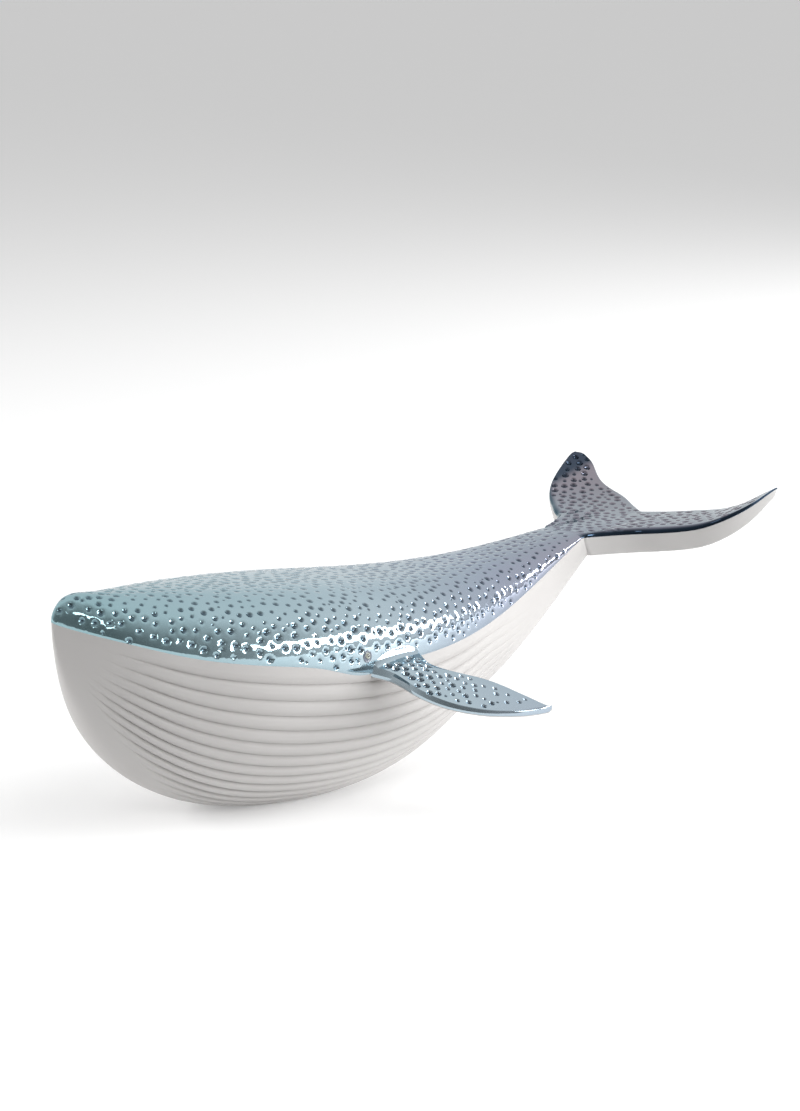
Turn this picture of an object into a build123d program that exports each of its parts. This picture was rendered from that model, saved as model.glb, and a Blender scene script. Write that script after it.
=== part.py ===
from build123d import *
import math
import os

# Whale figurine in slip-cast porcelain: a pleated bisque belly and a glazed back luted together
# along the glaze line, with flukes, flippers and eyes cast apart and luted on.
# Millimetres. +Z is up, the head points to -X and the left side is -Y.
# The origin is the centre of the flat foot that the belly stands on.

# Driving sizes of the body.
body_length = 400.0
beam = 144.0
nose_height = 127.0
crown_rise = 40.0
wall = 5.0
floor_wall = 7.0
chin_wall = 20.0
vent_bore = 6.0
vent_offset = 12.0
pleat_depth = 1.4
pleats_per_side = 15
glaze_dip = 6.0
glaze_dip_width = 24.0
glaze_dip_from_nose = 168.0
tail_setback = 9.0

# Driving sizes of the flukes.
fluke_span = 175.0
fluke_sweep = 93.0
fluke_tip_rise = 29.0
fluke_edge = 16.4
fluke_trailing_edge = 3.0

# Driving sizes of the flippers.
flipper_reach = 76.0
flipper_from_nose = 172.0
flipper_sweep = 77.0
flipper_drop = 2.5
flipper_droop = 24.0
flipper_thickness = 7.0
flipper_front_edge = 5.0
flipper_back_edge = 2.6
flipper_root = 10.0

# Driving sizes of the eyes.
eye_diameter = 6.4
eye_seat = 2.2
eye_bulge = 1.6
eye_from_nose = 171.0
eye_rise = 4.8

# One overrun serves every cut.
overrun = 20.0

# The foot's middle lies this share of the body's length behind the nose.
foot_share = 0.425
foot_from_nose = body_length * foot_share

# The body's lines at eleven stations from nose to tail: half width as shares of half the beam,
# glaze line and keel as shares of the nose's height, back as shares of the rise above the glaze line.
beam_shares = [0, 0.07, 0.25, 0.49, 0.70, 0.89, 0.99, 0.99, 0.84, 0.54, 0.25]
glaze_shares = [1, 0.98, 0.943, 0.889, 0.821, 0.766, 0.717, 0.681, 0.687, 0.767, 0.961]
crown_shares = [0, 0.26, 0.49, 0.62, 0.785, 0.89, 0.97, 0.98, 0.83, 0.55, 0.08]
keel_shares = [1, 0.794, 0.555, 0.345, 0.171, 0.046, -0.014, -0.016, 0.095, 0.387, 0.79]

# The flukes' lines at eleven stations from the middle to a tip, as shares of sweep, rise and edge.
fluke_front_shares = [0, 0.06, 0.22, 0.33, 0.43, 0.51, 0.60, 0.71, 0.84, 0.95, 1]
fluke_back_shares = [0.69, 0.79, 0.875, 0.915, 0.94, 0.98, 1.025, 1.04, 1.035, 1.01, 1]
fluke_front_rise_shares = [0, 0.01, 0.03, 0.07, 0.12, 0.2, 0.33, 0.49, 0.68, 0.87, 0.98]
fluke_back_rise_shares = [0.20, 0.24, 0.30, 0.37, 0.47, 0.62, 0.79, 0.90, 0.97, 0.99, 1]
fluke_edge_shares = [1, 1, 1, 0.99, 0.97, 0.95, 0.91, 0.82, 0.68, 0.5, 0.38]

# The flippers' edges at eleven stations from root to tip, as shares of the sweep, then how far the
# front edge is pitched down as a share of the width, and how much of that pitch is left at the root.
flipper_front_shares = [0, 0.182, 0.212, 0.266, 0.364, 0.506, 0.662, 0.792, 0.896, 0.961, 1]
flipper_back_shares = [0.70, 0.63, 0.718, 0.812, 0.896, 0.948, 0.974, 0.991, 1, 1.004, 1]
flipper_pitch_share = 0.12
flipper_flat_share = 0.35
flipper_taper_share = 0.55
flipper_crest_share = 0.25

# The flukes' front edge: how far back it rolls, how much of it lies above its foremost line,
# how far the underside is hollowed, and how far its root reaches into the blade and narrows.
fluke_roll_share = 0.08
fluke_upper_share = 0.24
fluke_hollow_share = 0.18
collar_reach_share = 0.4
collar_taper_share = 0.45

# How much of the eye's bulge is its straight rim.
eye_rim_share = 0.2

# Section shapes: exponents of the rounded-square top, of the rounder top of the head, which ends
# between two stations, and of the bowl below.
top_exponent_share = 3.0
head_exponent_share = 2.2
head_end_shares = (0.15, 0.6)
bowl_exponent_share = 2.15

# Stations where the pleats start and end, how much later the upper ones start, and where the
# hollow starts and ends.
pleat_start_shares = (0.10, 0.26)
pleat_delay_share = 0.12
pleat_end_shares = (0.70, 0.92)
hull_station_shares = [0.05, 0.12, 0.2, 0.28, 0.36, 0.44, 0.52, 0.6, 0.68, 0.76, 0.84, 0.92, 1]
hollow_station_shares = [0.2, 0.3, 0.4, 0.5, 0.6, 0.7, 0.8, 0.9, 1]
chin_end_shares = (0.45, 0.75)
hollow_level_share = 0.3
fluke_station_shares = [0, 0.1, 0.2, 0.3, 0.4, 0.5, 0.6, 0.7, 0.8, 0.9]
collar_station_shares = [0, 0.35, 0.7, 1]
flipper_station_shares = [0, 0.1, 0.2, 0.3, 0.4, 0.5, 0.6, 0.7, 0.8, 0.88, 0.94]
top_angle_shares = [0, 0.08, 0.2, 0.33, 0.45, 0.55, 0.67, 0.8, 0.92, 1]


def smooth_line(shares):
    """Return a smooth line of station through evenly spaced shares (a natural cubic)."""
    last = len(shares) - 1
    slope = [0.0] * (last + 1)
    carry = [0.0] * (last + 1)
    for i in range(1, last):
        pivot = 4 - slope[i - 1]
        slope[i] = 1 / pivot
        bend = 6 * (shares[i - 1] - 2 * shares[i] + shares[i + 1])
        carry[i] = (bend - carry[i - 1]) / pivot
    bends = [0.0] * (last + 1)
    for i in range(last - 1, 0, -1):
        bends[i] = carry[i] - slope[i] * bends[i + 1]

    def value(station):
        place = station * last
        i = min(int(place), last - 1)
        after = place - i
        before = 1 - after
        straight = before * shares[i] + after * shares[i + 1]
        bent = (before**3 - before) * bends[i] + (after**3 - after) * bends[i + 1]
        return straight + bent / 6

    return value


def smooth_step(start, end, station):
    """Go smoothly from 0 at the start station to 1 at the end station."""
    share = min(max((station - start) / (end - start), 0), 1)
    return share * share * (3 - 2 * share)


beam_line = smooth_line(beam_shares)
glaze_line = smooth_line(glaze_shares)
crown_line = smooth_line(crown_shares)
keel_line = smooth_line(keel_shares)


def body_sizes(station):
    """Half width, widest level, back and keel heights at a station."""
    half = beam / 2 * beam_line(station)
    level = nose_height * glaze_line(station)
    crown = level + crown_rise * crown_line(station)
    keel = nose_height * keel_line(station)
    return half, level, crown, keel


def body_x(station):
    """Stations crowd towards the nose, which makes the nose round."""
    return body_length * station**2 - foot_from_nose


def station_at(from_nose):
    return math.sqrt(from_nose / body_length)


def round_point(angle_share, half, level, tip, exponent):
    """A point on a quarter of a rounded section, from the widest level to the middle."""
    angle = angle_share * math.pi / 2
    out = max(math.cos(angle), 0) ** (2 / exponent)
    up = max(math.sin(angle), 0) ** (2 / exponent)
    return half * out, level + (tip - level) * up


def top_exponent(station):
    """The back's section is rounder at the head than further back."""
    change = smooth_step(*head_end_shares, station)
    return head_exponent_share + (top_exponent_share - head_exponent_share) * change


def pleat_press(station, pleat):
    """How far a pleat's groove is pressed in; the upper pleats start further back."""
    later = pleat_delay_share * (1 - pleat / pleats_per_side)
    start, full = pleat_start_shares
    begun = smooth_step(start + later, full + later, station)
    return pleat_depth * begun * (1 - smooth_step(*pleat_end_shares, station))


def bowl_point(station, angle_share, side, depth):
    """A point on the bowl below the glaze line, pressed in by a depth."""
    half, level, crown, keel = body_sizes(station)
    y, z = round_point(angle_share, half, level, keel, bowl_exponent_share)
    shrink = 1 - depth / math.hypot(y, z - level)
    return body_x(station), side * y * shrink, level + (z - level) * shrink


def hull_section(station):
    """One section of the body: a spline over the back and an arc for each pleat."""
    half, level, crown, keel = body_sizes(station)
    x = body_x(station)
    step = 1 / (pleats_per_side + 0.5)
    back = []
    for share in top_angle_shares:
        y, z = round_point(share, half, level, crown, top_exponent(station))
        back.append((x, -y, z))
    lip = [bowl_point(station, step, -1, pleat_press(station, 1)), bowl_point(station, step / 2, -1, 0)]
    left_half = lip + back
    right_half = [(px, -py, pz) for px, py, pz in reversed(left_half[:-1])]
    edges = [Spline(*left_half, *right_half)]
    for side in (1, -1):
        for pleat in range(1, pleats_per_side):
            near = pleat if side > 0 else pleats_per_side - pleat + 1
            far = near + side
            edges.append(
                ThreePointArc(
                    bowl_point(station, near * step, side, pleat_press(station, near)),
                    bowl_point(station, (near + far) / 2 * step, side, 0),
                    bowl_point(station, far * step, side, pleat_press(station, far)),
                )
            )
        if side > 0:
            last = pleats_per_side * step
            groove = pleat_press(station, pleats_per_side)
            edges.append(
                ThreePointArc(
                    bowl_point(station, last, 1, groove),
                    bowl_point(station, 1, 1, 0),
                    bowl_point(station, last, -1, groove),
                )
            )
    return Wire(edges)


def smooth_section(x, half, level, crown, keel, exponent):
    """A plain closed section with the body's roundness."""
    upper = [round_point(share, half, level, crown, exponent) for share in top_angle_shares]
    lower = [round_point(share, half, level, keel, bowl_exponent_share) for share in top_angle_shares]
    right_half = upper[::-1] + lower[1:]
    left_half = [(-y, z) for y, z in reversed(right_half[1:-1])]
    return Wire([Spline(*[(x, y, z) for y, z in right_half + left_half], periodic=True)])


def hollow_section(station, past_end):
    """The hollow's section: the body's less its walls, which are thickest at the chin."""
    half, level, crown, keel = body_sizes(station)
    ahead = 1 - smooth_step(*chin_end_shares, station)
    top = crown - wall
    bottom = keel + floor_wall + (chin_wall - floor_wall) * ahead
    widest = min(level, top - hollow_level_share * (top - bottom))
    x = body_x(station) + chin_wall * (1 - station) ** 2 + past_end
    return smooth_section(x, half - wall, widest, top, bottom, top_exponent(station))


def make_body():
    """The outer form of the body as one solid, and its hollow."""
    outer = Solid.make_loft([hull_section(station) for station in hull_station_shares])
    inside = [hollow_section(station, 0) for station in hollow_station_shares]
    hollow = Solid.make_loft(inside + [hollow_section(1, wall)])
    return outer, hollow


def above_glaze_line():
    """Everything above the glaze line, which dips beside the flippers."""
    points = []
    for station in hull_station_shares:
        x = body_x(station)
        off = (x + foot_from_nose - glaze_dip_from_nose) / glaze_dip_width
        level = nose_height * glaze_line(station) - glaze_dip * math.exp(-off * off)
        points.append((x, -beam, level))
    points = [(points[0][0] - overrun, -beam, points[0][2])] + points
    points.append((points[-1][0] + overrun, -beam, points[-1][2]))
    sky = nose_height + crown_rise + overrun
    roof = Polyline(points[-1], (points[-1][0], -beam, sky), (points[0][0], -beam, sky), points[0])
    face = make_face([Spline(*points), roof])
    return extrude(face, amount=2 * beam, dir=(0, 1, 0))


def eye_place():
    """The middle of the left eye's seat on the back, with the seat's axis pointing out."""
    half, level, crown, keel = body_sizes(station_at(eye_from_nose))
    rise = (eye_rise / (crown - level)) ** top_exponent_share
    y = half * (1 - rise) ** (1 / top_exponent_share)
    place = (eye_from_nose - foot_from_nose, -y, level + eye_rise)
    return Plane(place, x_dir=(1, 0, 0), z_dir=(0, -1, 0))


def make_eye():
    """A bead with a domed front on a round seat."""
    radius = eye_diameter / 2
    dome = eye_bulge * (1 - eye_rim_share)
    dome_radius = (radius**2 + dome**2) / (2 * dome)
    stud = Cylinder(radius, eye_seat + eye_bulge, align=(Align.CENTER, Align.CENTER, Align.MIN))
    bead = Pos(0, 0, -eye_seat) * stud & Pos(0, 0, eye_bulge - dome_radius) * Sphere(dome_radius)
    return eye_place().location * bead


def eye_socket():
    """The round recess that takes the bead's seat."""
    drill = Cylinder(eye_diameter / 2, eye_seat + overrun, align=(Align.CENTER, Align.CENTER, Align.MIN))
    return eye_place().location * Pos(0, 0, -eye_seat) * drill


fluke_front = smooth_line(fluke_front_shares)
fluke_back = smooth_line(fluke_back_shares)
fluke_front_rise = smooth_line(fluke_front_rise_shares)
fluke_back_rise = smooth_line(fluke_back_rise_shares)
fluke_edge_line = smooth_line(fluke_edge_shares)


# The flukes' front edge carries on the glaze line from the end of the body.
fluke_from_nose = body_length + tail_setback
fluke_height = nose_height * glaze_line(1)


def span_share(station):
    """Stations crowd towards a tip, which makes the tip round."""
    return 1 - (1 - station) ** 2


def fluke_section(station, side):
    """One section of the flukes: a thick rolled front edge and a thin trailing edge."""
    y = side * fluke_span / 2 * span_share(station)
    front = fluke_from_nose - foot_from_nose + fluke_sweep * fluke_front(station)
    back = fluke_from_nose - foot_from_nose + fluke_sweep * fluke_back(station)
    nose = fluke_height + fluke_tip_rise * fluke_front_rise(station)
    tail = fluke_height + fluke_tip_rise * fluke_back_rise(station)
    edge = fluke_edge * fluke_edge_line(station)
    thin = fluke_trailing_edge * fluke_edge_line(station)
    roll = (back - front) * fluke_roll_share
    top = (front + roll, y, nose + edge * fluke_upper_share)
    bottom = (front + roll, y, nose - edge * (1 - fluke_upper_share))
    low = (back, y, tail - thin)
    high = (back, y, tail)
    under = (bottom[0] + low[0]) / 2, y, (bottom[2] + low[2]) / 2 + edge * fluke_hollow_share
    roll_edge = ThreePointArc(top, (front, y, nose), bottom)
    underside = ThreePointArc(bottom, under, low)
    return Wire([roll_edge, underside, Line(low, high), Line(high, top)])


def collar_section(share):
    """The flukes' root, which carries on the tail stock's own section."""
    half, level, crown, keel = body_sizes(1)
    underside = fluke_height - fluke_edge * (1 - fluke_upper_share)
    back = fluke_from_nose + fluke_sweep * collar_reach_share
    x = body_length + (back - body_length) * share - foot_from_nose
    ease = 1 - (1 - share) ** 2
    low = keel + (underside + fluke_trailing_edge - keel) * ease
    width = half * (1 - collar_taper_share * share)
    return smooth_section(x, width, level, crown, low, top_exponent_share)


def collar_hollow():
    """The end of the body's hollow, which runs on into the flukes' root."""
    half, level, crown, keel = body_sizes(1)
    inside = [hollow_section(1, -wall), hollow_section(1, 0), hollow_section(1, wall)]
    middle = (crown + keel) / 2
    x = body_length + half - foot_from_nose
    narrow = (half - wall) / 2
    tip = smooth_section(x, narrow, middle, crown - 2 * wall, middle - wall / 2, top_exponent_share)
    return Solid.make_loft(inside + [tip])


def make_flukes():
    """Both flukes and their root as one casting."""
    left = [fluke_section(station, -1) for station in reversed(fluke_station_shares[1:])]
    right = [fluke_section(station, 1) for station in fluke_station_shares]
    wing = Solid.make_loft(left + right)
    collar = Solid.make_loft([collar_section(share) for share in collar_station_shares])
    return wing + collar - collar_hollow()


flipper_front = smooth_line(flipper_front_shares)
flipper_back = smooth_line(flipper_back_shares)
flipper_half, flipper_level, _, _ = body_sizes(station_at(flipper_from_nose))
flipper_spread = flipper_half - flipper_drop
flipper_height = flipper_level - flipper_drop


def flipper_section(station, inward):
    """One section of the left flipper: a thick front edge, a thin back edge and a fuller middle."""
    out = span_share(station)
    y = inward - flipper_spread - flipper_reach * out
    front = flipper_from_nose - foot_from_nose + flipper_sweep * flipper_front(station)
    back = flipper_from_nose - foot_from_nose + flipper_sweep * flipper_back(station)
    high = flipper_height - flipper_droop * out
    pitch = flipper_pitch_share * (flipper_flat_share + (1 - flipper_flat_share) * out)
    low = high - pitch * (back - front)
    full = flipper_thickness * (1 - flipper_taper_share * out)
    middle = (front + back) / 2
    crest = (high + low) / 2 + full * flipper_crest_share
    hollow = crest - full
    front_edge = flipper_front_edge * (1 - flipper_taper_share * out)
    edges = [
        ThreePointArc((front, y, low), (middle, y, crest), (back, y, high)),
        Line((back, y, high), (back, y, high - flipper_back_edge)),
        ThreePointArc((back, y, high - flipper_back_edge), (middle, y, hollow), (front, y, low - front_edge)),
        Line((front, y, low - front_edge), (front, y, low)),
    ]
    return Wire(edges)


def make_flipper(outer):
    """The left flipper, with its root cut to sit on the body's side."""
    root = [flipper_section(0, flipper_root)]
    blade = [flipper_section(station, 0) for station in flipper_station_shares]
    return Solid.make_loft(root + blade) - outer


def below_foot():
    """Everything under the surface that the figurine stands on."""
    depth = nose_height
    ground = Box(2 * body_length, 2 * beam, depth, align=(Align.CENTER, Align.CENTER, Align.MAX))
    vent = Cylinder(vent_bore / 2, 2 * (floor_wall + overrun))
    return ground + Pos(vent_offset, 0, 0) * vent


outer, hollow = make_body()
upper = above_glaze_line()
sockets = eye_socket()
sockets = sockets + mirror(sockets, about=Plane.XZ)
left_eye = make_eye()
left_flipper = make_flipper(outer)

pieces = {
    "belly_shell": outer - upper - hollow - below_foot(),
    "back_shell": (outer & upper) - hollow - sockets,
    "tail_flukes": make_flukes(),
    "left_flipper": left_flipper,
    "right_flipper": mirror(left_flipper, about=Plane.XZ),
    "left_eye": left_eye,
    "right_eye": mirror(left_eye, about=Plane.XZ),
}

os.makedirs("parts", exist_ok=True)
for name, piece in pieces.items():
    export_step(piece, f"parts/{name}.step")
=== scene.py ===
import math
import bpy
import numpy as np
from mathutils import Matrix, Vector
from mathutils.geometry import delaunay_2d_cdt
from mathutils.kdtree import KDTree


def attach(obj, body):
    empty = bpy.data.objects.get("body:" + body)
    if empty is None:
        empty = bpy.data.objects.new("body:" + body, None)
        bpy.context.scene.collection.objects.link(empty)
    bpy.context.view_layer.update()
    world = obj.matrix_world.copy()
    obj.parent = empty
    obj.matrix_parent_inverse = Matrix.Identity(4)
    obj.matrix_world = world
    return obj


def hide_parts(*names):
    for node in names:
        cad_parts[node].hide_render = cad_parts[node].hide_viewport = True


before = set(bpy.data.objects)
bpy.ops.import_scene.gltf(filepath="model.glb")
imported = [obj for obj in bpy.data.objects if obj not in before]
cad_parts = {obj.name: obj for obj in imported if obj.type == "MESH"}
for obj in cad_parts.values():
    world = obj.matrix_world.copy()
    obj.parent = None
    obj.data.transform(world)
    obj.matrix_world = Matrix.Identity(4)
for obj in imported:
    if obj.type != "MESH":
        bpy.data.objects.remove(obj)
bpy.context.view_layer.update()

# The belly is the lower half of the body: unglazed white porcelain, slip-cast in a plaster mould
# whose grooves leave the throat pleats. Its keel is ground flat where the figurine stands.
body_length = 0.400
beam = 0.144
nose_height = 0.127
crown_rise = 0.040
foot_from_nose = 0.425 * body_length
glaze_dip = 0.006
glaze_dip_width = 0.024
glaze_dip_from_nose = 0.168
pleat_depth = 0.0021
pleats_per_side = 15
pleat_start_shares = (0.10, 0.26)
pleat_delay_share = 0.12
keel_delay_share = 0.30
pleat_end_shares = (0.72, 0.95)
keel_delay_start_share = 0.4
pleat_roll_exponent = 1.4
pleat_step_exponent = 5.4
# Painted shade along the pleat grooves: how narrow its band is and how much it darkens the clay.
painted_groove_shade_exponent = 14.0
painted_groove_shade_share = 0.15
pleat_crease_degrees = 35
grain_size = 0.0006
bisque_tone_size = 0.05
tooth_strength = 0.12
tooth_depth = 0.0003
stock_exponent = 3.0
head_exponent = 1.85
head_end_shares = (0.25, 0.68)
bowl_exponent = 2.15
stock_bowl_exponent = 4.5
stock_start_share = 0.84
beam_shares = [0, 0.07, 0.25, 0.49, 0.70, 0.89, 0.99, 0.99, 0.84, 0.54, 0.25]
glaze_shares = [1, 0.98, 0.943, 0.889, 0.821, 0.766, 0.717, 0.681, 0.687, 0.767, 0.961]
crown_shares = [0, 0.276, 0.52, 0.651, 0.815, 0.915, 0.981, 0.983, 0.83, 0.55, 0.08]
keel_shares = [1, 0.794, 0.555, 0.345, 0.171, 0.046, -0.014, -0.016, 0.095, 0.387, 0.79]
belly_rows = 250
cells_per_pleat = 12
bisque_white = (0.50, 0.488, 0.48, 1)
bisque_shade = (0.46, 0.448, 0.44, 1)
# The grey that the painted groove shade mixes into the clay.
painted_groove_shade_grey = (0.18, 0.168, 0.16, 1)


def smooth_line(shares):
    """A smooth line through evenly spaced shares (a natural cubic), for arrays of stations."""
    shares = np.array(shares, float)
    last = len(shares) - 1
    system = np.eye(last + 1)
    right = np.zeros(last + 1)
    for i in range(1, last):
        system[i, i - 1 : i + 2] = 1, 4, 1
        right[i] = 6 * (shares[i - 1] - 2 * shares[i] + shares[i + 1])
    bends = np.linalg.solve(system, right)

    def value(station):
        place = np.asarray(station, float) * last
        i = np.clip(place.astype(int), 0, last - 1)
        after = place - i
        before = 1 - after
        straight = before * shares[i] + after * shares[i + 1]
        bent = (before**3 - before) * bends[i] + (after**3 - after) * bends[i + 1]
        return straight + bent / 6

    return value


def smooth_step(start, end, place):
    share = np.clip((np.asarray(place, float) - start) / (end - start), 0, 1)
    return share * share * (3 - 2 * share)


beam_line = smooth_line(beam_shares)
glaze_line = smooth_line(glaze_shares)
crown_line = smooth_line(crown_shares)
keel_line = smooth_line(keel_shares)


def body_sizes(station):
    """Half width, widest level, back and keel heights."""
    half = beam / 2 * np.maximum(beam_line(station), 0)
    level = nose_height * glaze_line(station)
    crown = level + crown_rise * np.maximum(crown_line(station), 0)
    keel = np.minimum(nose_height * keel_line(station), level)
    return half, level, crown, keel


def top_exponent(station):
    """The back's section is rounder at the head than further back."""
    return head_exponent + (stock_exponent - head_exponent) * smooth_step(*head_end_shares, station)


def under_exponent(station):
    """The belly's section is a bowl that turns into the straighter sides of the tail stock."""
    return bowl_exponent + (stock_bowl_exponent - bowl_exponent) * smooth_step(stock_start_share, 1, station)


def body_x(station):
    return body_length * np.asarray(station) ** 2 - foot_from_nose


def glaze_share(station):
    """How far down the bowl the glaze reaches, as a share of the quarter turn to the keel."""
    half, level, crown, keel = body_sizes(station)
    off = (body_x(station) + foot_from_nose - glaze_dip_from_nose) / glaze_dip_width
    drop = glaze_dip * np.exp(-off * off) / np.maximum(level - keel, glaze_dip)
    return np.arcsin(np.clip(drop ** (bowl_exponent / 2), 0, 1)) * 2 / math.pi


def quarter(share, half, level, tip, exponent):
    """A point on a quarter of a rounded section, from the widest level to the middle."""
    angle = np.asarray(share) * math.pi / 2
    out = np.maximum(np.cos(angle), 0) ** (2 / exponent)
    up = np.maximum(np.sin(angle), 0) ** (2 / exponent)
    return half * out, level + (tip - level) * up


def add_node(tree, kind, settings=None, **inputs):
    """Add a node, set its properties, and link or set its inputs by name, or by number as i0, i1."""
    node = tree.nodes.new(kind)
    for name, value in (settings or {}).items():
        setattr(node, name, value)
    for name, value in inputs.items():
        number = name[0] == "i" and name[1:].isdigit()
        socket = node.inputs[int(name[1:])] if number else node.inputs[name.replace("_", " ")]
        if isinstance(value, bpy.types.NodeSocket):
            tree.links.new(value, socket)
        else:
            socket.default_value = value
    return node


def add_math(tree, operation, *values):
    inputs = {f"i{i}": value for i, value in enumerate(values)}
    return add_node(tree, "ShaderNodeMath", {"operation": operation}, **inputs).outputs[0]


def new_tree(name, inputs):
    """A geometry tree with a mesh going in and out, and named inputs for its sizes."""
    tree = bpy.data.node_groups.new(name, "GeometryNodeTree")
    tree.interface.new_socket("Geometry", in_out="OUTPUT", socket_type="NodeSocketGeometry")
    tree.interface.new_socket("Geometry", in_out="INPUT", socket_type="NodeSocketGeometry")
    for socket_name, kind in inputs:
        tree.interface.new_socket(socket_name, in_out="INPUT", socket_type=kind)
    return tree, tree.nodes.new("NodeGroupInput")


def read_attribute(tree, name):
    return add_node(tree, "GeometryNodeInputNamedAttribute", {"data_type": "FLOAT"}, Name=name).outputs[0]


def store_attribute(tree, mesh, name, value):
    kind = {"data_type": "FLOAT", "domain": "POINT"}
    stored = add_node(tree, "GeometryNodeStoreNamedAttribute", kind, Geometry=mesh, Name=name, Value=value)
    return stored.outputs[0]


def push_along_normal(tree, mesh, distance):
    normal = tree.nodes.new("GeometryNodeInputNormal").outputs[0]
    offset = add_node(tree, "ShaderNodeVectorMath", {"operation": "SCALE"}, i0=normal, Scale=distance)
    moved = add_node(tree, "GeometryNodeSetPosition", None, Geometry=mesh, Offset=offset.outputs[0])
    return moved.outputs[0]


def end_tree(tree, mesh, material):
    """Every tree ends with plain, smooth, painted faces."""
    whole = add_node(tree, "GeometryNodeRealizeInstances", None, Geometry=mesh)
    smooth = add_node(tree, "GeometryNodeSetShadeSmooth", None, Geometry=whole.outputs[0])
    painted = add_node(tree, "GeometryNodeSetMaterial", None, Geometry=smooth.outputs[0], Material=material)
    add_node(tree, "NodeGroupOutput", None, Geometry=painted.outputs[0])


def new_piece(name, vertices, faces, attributes):
    """A mesh object at the origin, with one number for each vertex under each attribute's name."""
    mesh = bpy.data.meshes.new(name)
    mesh.from_pydata(vertices, [], faces)
    for attribute, values in attributes.items():
        mesh.attributes.new(attribute, "FLOAT", "POINT").data.foreach_set("value", np.asarray(values, float))
    mesh.update()
    piece = bpy.data.objects.new(name, mesh)
    bpy.context.scene.collection.objects.link(piece)
    return piece


def shape_by_tree(piece, tree, values, crease_degrees):
    """Run a geometry tree on a piece and keep the result as its plain mesh."""
    modifier = piece.modifiers.new(tree.name, "NODES")
    modifier.node_group = tree
    for item in tree.interface.items_tree:
        if item.in_out == "INPUT" and item.name in values:
            modifier[item.identifier] = values[item.name]
    graph = bpy.context.evaluated_depsgraph_get()
    mesh = bpy.data.meshes.new_from_object(piece.evaluated_get(graph))
    piece.modifiers.remove(modifier)
    plain = piece.data
    piece.data = mesh
    bpy.data.meshes.remove(plain)
    mesh.name = piece.name
    mesh.set_sharp_from_angle(angle=math.radians(crease_degrees))


def pleat_tree():
    """Press a groove at each whole number of pleat_place: a slow roll in above it, a sharp step out below,
    with painted shade along each groove.
    """
    tree, source = new_tree("press_pleats", [("Depth", "NodeSocketFloat"), ("Bisque", "NodeSocketMaterial")])
    place = read_attribute(tree, "pleat_place")
    fade = read_attribute(tree, "pleat_fade")
    groove = add_math(tree, "ROUND", place)
    below = add_math(tree, "SUBTRACT", place, groove)
    toward = add_math(tree, "MULTIPLY_ADD", add_math(tree, "ABSOLUTE", below), -2.0, 1.0)
    under = add_math(tree, "GREATER_THAN", below, 0.0)
    sharper = pleat_step_exponent - pleat_roll_exponent
    sharpness = add_math(tree, "MULTIPLY_ADD", under, sharper, pleat_roll_exponent)
    roll = add_math(tree, "POWER", toward, sharpness)
    below_lip = add_math(tree, "GREATER_THAN", groove, 0.5)
    pressed = add_math(tree, "MULTIPLY", add_math(tree, "MULTIPLY", roll, fade), below_lip)
    depth = add_math(tree, "MULTIPLY", pressed, source.outputs["Depth"])
    mesh = push_along_normal(tree, source.outputs["Geometry"], add_math(tree, "MULTIPLY", depth, -1.0))
    position = tree.nodes.new("GeometryNodeInputPosition").outputs[0]
    spot = add_node(tree, "ShaderNodeSeparateXYZ", None, i0=position)
    ground = add_math(tree, "MAXIMUM", spot.outputs[2], 0.0)
    flat = add_node(tree, "ShaderNodeCombineXYZ", None, X=spot.outputs[0], Y=spot.outputs[1], Z=ground)
    footed = add_node(tree, "GeometryNodeSetPosition", None, Geometry=mesh, Position=flat.outputs[0])
    # Painted shade: a narrow dark band at each groove, kept on the mesh so the bisque darkens where the
    # crease falls in shade.
    line = add_math(tree, "MULTIPLY", add_math(tree, "POWER", toward, painted_groove_shade_exponent), fade)
    line = add_math(tree, "MULTIPLY", line, below_lip)
    groove_shaded = store_attribute(tree, footed.outputs[0], "painted_groove_shade", line)
    end_tree(tree, groove_shaded, source.outputs["Bisque"])
    return tree


def belly_mesh():
    """The smooth bowl from the glaze line on one side round the keel to the other."""
    step = 1 / (pleats_per_side + 0.5)
    inner_cells = np.arange(0, (pleats_per_side - 0.5) * cells_per_pleat + 0.5)
    inner_shares = step + inner_cells * step / cells_per_pleat
    lip_cells = cells_per_pleat - 2
    stations = np.linspace(0, 1, belly_rows)
    vertices = [(body_x(0.0).item(), 0, nose_height)]
    places = [0.0]
    fades = [0.0]
    for station in stations[1:]:
        half, level, crown, keel = body_sizes(station)
        start = glaze_share(station)
        lip_shares = start + (step - start) * np.arange(lip_cells) / lip_cells
        shares = np.concatenate([lip_shares, inner_shares])
        y, z = quarter(shares, half, level, keel, under_exponent(station))
        x = body_x(station).item()
        down = np.round(shares / step) / pleats_per_side
        later = pleat_delay_share * (1 - down)
        later = later + keel_delay_share * smooth_step(keel_delay_start_share, 1, down)
        start, full = pleat_start_shares
        fade = smooth_step(start + later, full + later, station)
        fade = fade * (1 - smooth_step(*pleat_end_shares, station))
        back_round = slice(-2, None, -1)
        vertices.extend((x, -b, c) for b, c in zip(y, z))
        vertices.extend((x, b, c) for b, c in zip(y[back_round], z[back_round]))
        for values, found in ((places, shares / step), (fades, fade)):
            values.extend(found)
            values.extend(found[back_round])
    return vertices, places, fades


def grid_faces(rows, columns, start):
    """Quads between rows of equal length, and a last strip that closes each row across."""
    faces = []
    for row in range(rows - 1):
        first = start + row * columns
        for column in range(columns - 1):
            a = first + column
            faces.append((a, a + 1, a + columns + 1, a + columns))
        faces.append((first + columns - 1, first, first + columns, first + 2 * columns - 1))
    return faces


belly_vertices, belly_places, belly_fades = belly_mesh()
belly_columns = (len(belly_vertices) - 1) // (belly_rows - 1)
belly_faces = grid_faces(belly_rows - 1, belly_columns, 1)
belly_faces += [(0, column + 2, column + 1) for column in range(belly_columns - 1)]
belly_faces += [(0, 1, belly_columns)]
belly_faces += [tuple(range(len(belly_vertices) - belly_columns, len(belly_vertices)))]


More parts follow.
